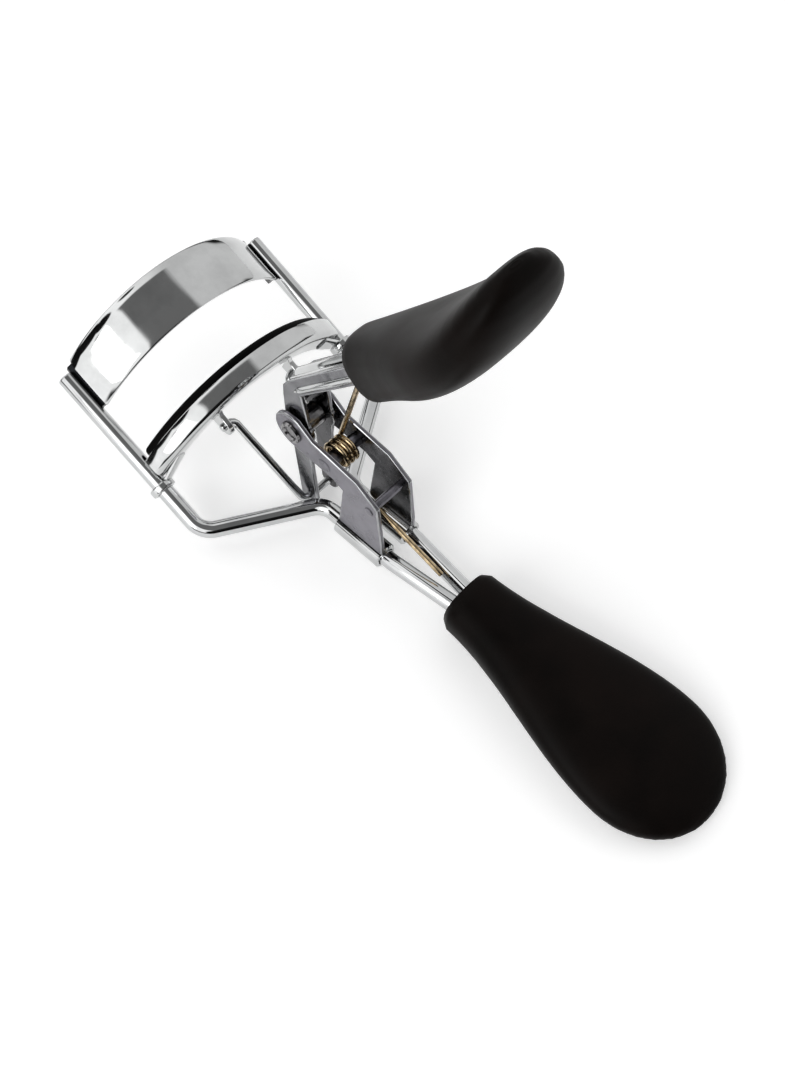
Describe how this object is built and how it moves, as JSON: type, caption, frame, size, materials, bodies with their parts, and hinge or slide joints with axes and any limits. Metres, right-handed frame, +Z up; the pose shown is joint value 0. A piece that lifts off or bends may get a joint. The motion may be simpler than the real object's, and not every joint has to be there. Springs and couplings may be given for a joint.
{
  "type": "eyelash curler",
  "caption": "Hand eyelash curler: bent-wire frame with a fixed curved bow, a padded jaw sliding on its rails, and a sprung squeeze lever with two black paddle grips",
  "frame": {"origin": "middle of the bounding box, on the plane that the tool lies on", "axes": "+X across the two rails, +Y from the fixed grip towards the bows, +Z up, the side that the lever opens towards"},
  "size_m": [0.0382, 0.099, 0.0666],
  "materials": {
    "chromed_wire": "mirror-bright chrome plate on drawn wire",
    "chromed_sheet": "bright chrome plate on pressed sheet, slightly softer than the wire",
    "bright_steel": "bright turned pins with half-round heads",
    "spring_steel": "warm-toned drawn spring wire",
    "silicone": "smooth matte black silicone",
    "soft_touch_grip": "smooth satin black soft-touch moulding"
  },
  "bodies": {
    "frame": {"left_frame_wire": "chromed_wire", "right_frame_wire": "chromed_wire", "upper_bow_plate": "chromed_sheet", "left_bracket_ear": "chromed_sheet", "right_bracket_ear": "chromed_sheet", "pivot_pin": "bright_steel", "spring_pin": "bright_steel", "bracket_rivet": "bright_steel", "pivot_sleeve": "bright_steel", "torsion_spring": "spring_steel", "lower_grip": "soft_touch_grip"},
    "lever": {"lever_channel": "chromed_sheet", "upper_grip": "soft_touch_grip"},
    "jaw": {"lower_jaw_channel": "chromed_sheet", "silicone_pad": "silicone", "left_guide_eye": "chromed_sheet", "right_guide_eye": "chromed_sheet", "left_jaw_lug": "chromed_sheet", "right_jaw_lug": "chromed_sheet"},
    "link": {"link_bail": "chromed_wire"}
  },
  "joints": [
    {"name": "lever_hinge", "type": "hinge", "parent": "frame", "child": "lever", "pos_m": [0, 0.0187, 0.01718], "axis": [1, 0, 0], "range_deg": [0, 31.5], "stiffness_Nm_per_rad": 0.1, "springref_deg": -28.65, "deforming": ["torsion_spring"]},
    {"name": "jaw_slide", "type": "slide", "parent": "frame", "child": "jaw", "axis": [0, 0.9171, 0.3987], "range_m": [0, 0.0076]},
    {"name": "link_hinge", "type": "hinge", "parent": "jaw", "child": "link", "pos_m": [0, 0.0287, 0.01161], "axis": [1, 0, 0], "range_deg": [0, 8]}
  ],
  "couplings": [
    {"joint": "jaw_slide", "follows": "lever_hinge", "m_per_rad": 0.01373},
    {"joint": "link_hinge", "follows": "lever_hinge", "ratio": 0.2308}
  ]
}
